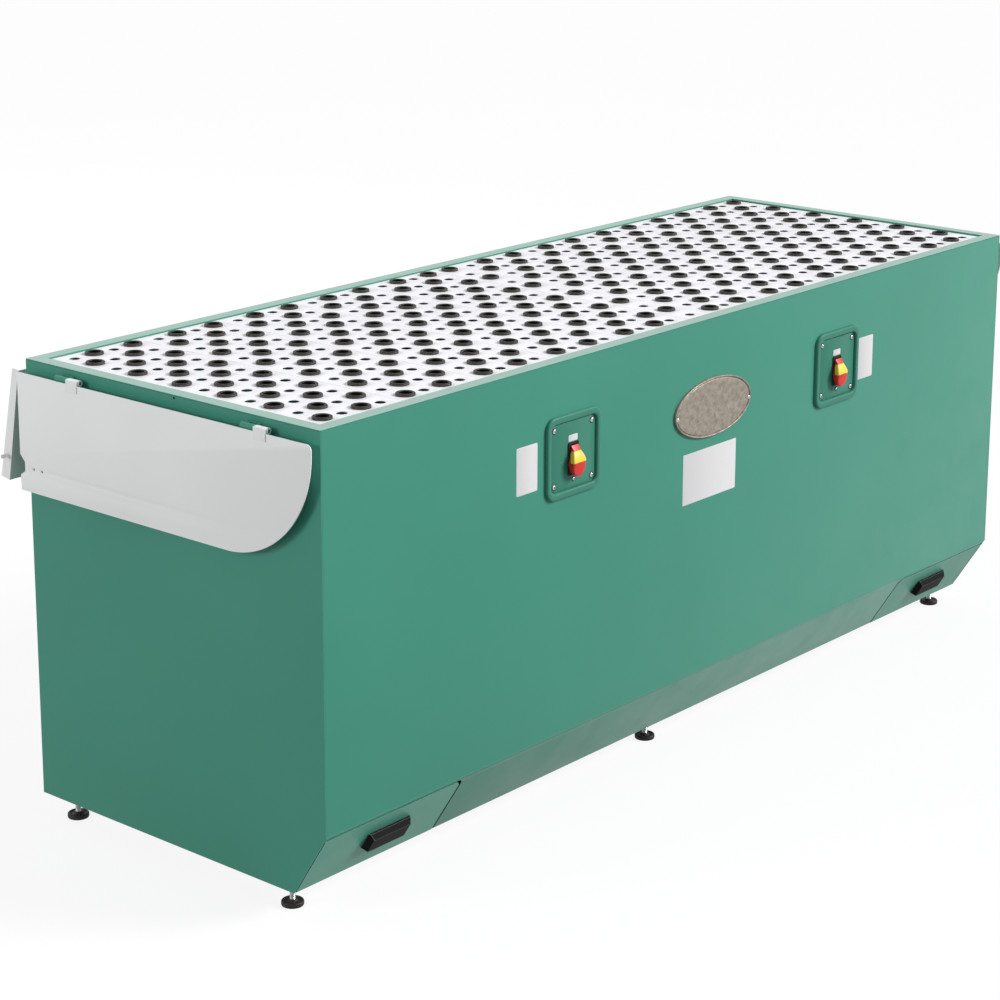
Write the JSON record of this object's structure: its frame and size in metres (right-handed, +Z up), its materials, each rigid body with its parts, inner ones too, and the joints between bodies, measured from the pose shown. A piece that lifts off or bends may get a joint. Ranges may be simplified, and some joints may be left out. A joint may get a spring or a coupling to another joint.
{
  "type": "downdraft sanding table",
  "caption": "Sheet steel downdraft sanding table with a perforated top, fold-up end wings and rear shield, dust drawers, filters and blowers.",
  "frame": {"origin": "on the floor, in the middle of the whole table's box", "axes": "+X along the table to the user's right, +Y from the front to the back, +Z up"},
  "size_m": [2.122, 0.8078, 0.852],
  "materials": {
    "green_paint": "semi-gloss powder coat",
    "grey_paint": "satin powder coat",
    "panel_paint": "satin powder coat",
    "black_rubber": "matte",
    "black_plastic": "fine grained",
    "red_plastic": "satin moulded",
    "yellow_plastic": "satin moulded",
    "zinc_steel": "zinc plated",
    "galvanised_steel": "galvanised sheet",
    "cast_badge": "antiqued casting",
    "filter_media": "pleated paper",
    "motor_paint": "semi-gloss",
    "label_white": "blank printed film"
  },
  "bodies": {
    "cabinet": {"front_panel": "green_paint", "rear_panel": "green_paint", "left_end_panel": "green_paint", "right_end_panel": "green_paint", "base_pan": "galvanised_steel", "centre_divider": "galvanised_steel", "top_frame": "green_paint", "table_panel_1": "panel_paint", "table_panel_2": "panel_paint", "table_panel_3": "panel_paint", "table_panel_4": "panel_paint", "table_panel_5": "panel_paint", "table_panel_6": "panel_paint", "table_panel_7": "panel_paint", "table_panel_8": "panel_paint", "table_panel_9": "panel_paint", "table_panel_10": "panel_paint", "centre_strip": "panel_paint", "left_chute": "galvanised_steel", "left_filter": "filter_media", "left_blower_housing": "galvanised_steel", "left_motor": "motor_paint", "right_chute": "galvanised_steel", "right_filter": "filter_media", "right_blower_housing": "galvanised_steel", "right_motor": "motor_paint", "left_switch_plate": "green_paint", "left_switch_body": "black_plastic", "right_switch_plate": "green_paint", "right_switch_body": "black_plastic", "badge": "cast_badge", "left_front_hinge_pin": "green_paint", "left_rear_hinge_pin": "green_paint", "right_front_hinge_pin": "green_paint", "right_rear_hinge_pin": "green_paint", "shield_left_hinge_pin": "green_paint", "shield_right_hinge_pin": "green_paint", "foot_1": "black_rubber", "foot_2": "black_rubber", "foot_3": "black_rubber", "foot_4": "black_rubber", "foot_5": "black_rubber", "foot_6": "black_rubber", "cable_gland": "black_plastic"},
    "left_impeller": {"left_impeller": "zinc_steel"},
    "right_impeller": {"right_impeller": "zinc_steel"},
    "left_paddle": {"left_switch_paddle": "red_plastic"},
    "right_paddle": {"right_switch_paddle": "red_plastic"},
    "left_key": {"left_switch_key": "yellow_plastic"},
    "right_key": {"right_switch_key": "yellow_plastic"},
    "left_drawer": {"left_dust_drawer": "green_paint", "left_drawer_pull": "black_plastic"},
    "right_drawer": {"right_dust_drawer": "green_paint", "right_drawer_pull": "black_plastic"},
    "left_wing": {"left_wing": "grey_paint"},
    "right_wing": {"right_wing": "grey_paint"},
    "rear_shield": {"rear_shield": "grey_paint", "left_latch_stud": "zinc_steel", "right_latch_stud": "zinc_steel"}
  },
  "joints": [
    {"name": "left_wing_hinge", "type": "hinge", "parent": "cabinet", "child": "left_wing", "pos_m": [-1.0512, -0.2476, 0.833], "axis": [0, 1, 0], "range_deg": [0, 180]},
    {"name": "right_wing_hinge", "type": "hinge", "parent": "cabinet", "child": "right_wing", "pos_m": [1.0512, -0.2476, 0.833], "axis": [0, -1, 0], "range_deg": [0, 180]},
    {"name": "rear_shield_hinge", "type": "hinge", "parent": "cabinet", "child": "rear_shield", "pos_m": [0, 0.3386, 0.833], "axis": [1, 0, 0], "range_deg": [0, 170.2]},
    {"name": "left_drawer_slide", "type": "slide", "parent": "cabinet", "child": "left_drawer", "axis": [0, -1, 0], "range_m": [0, 0.5]},
    {"name": "right_drawer_slide", "type": "slide", "parent": "cabinet", "child": "right_drawer", "axis": [0, -1, 0], "range_m": [0, 0.5]},
    {"name": "left_paddle_hinge", "type": "hinge", "parent": "cabinet", "child": "left_paddle", "pos_m": [-0.415, -0.3864, 0.67], "axis": [1, 0, 0], "range_deg": [0, 12]},
    {"name": "right_paddle_hinge", "type": "hinge", "parent": "cabinet", "child": "right_paddle", "pos_m": [0.415, -0.3864, 0.67], "axis": [1, 0, 0], "range_deg": [0, 12]},
    {"name": "left_key_slide", "type": "slide", "parent": "left_paddle", "child": "left_key", "axis": [0, -1, 0], "range_m": [0, 0.018]},
    {"name": "right_key_slide", "type": "slide", "parent": "right_paddle", "child": "right_key", "axis": [0, -1, 0], "range_m": [0, 0.018]},
    {"name": "left_impeller_spin", "type": "hinge", "parent": "cabinet", "child": "left_impeller", "pos_m": [-0.216, 0.0104, 0.24], "axis": [1, 0, 0], "continuous": true},
    {"name": "right_impeller_spin", "type": "hinge", "parent": "cabinet", "child": "right_impeller", "pos_m": [0.216, 0.0104, 0.24], "axis": [1, 0, 0], "continuous": true}
  ]
}
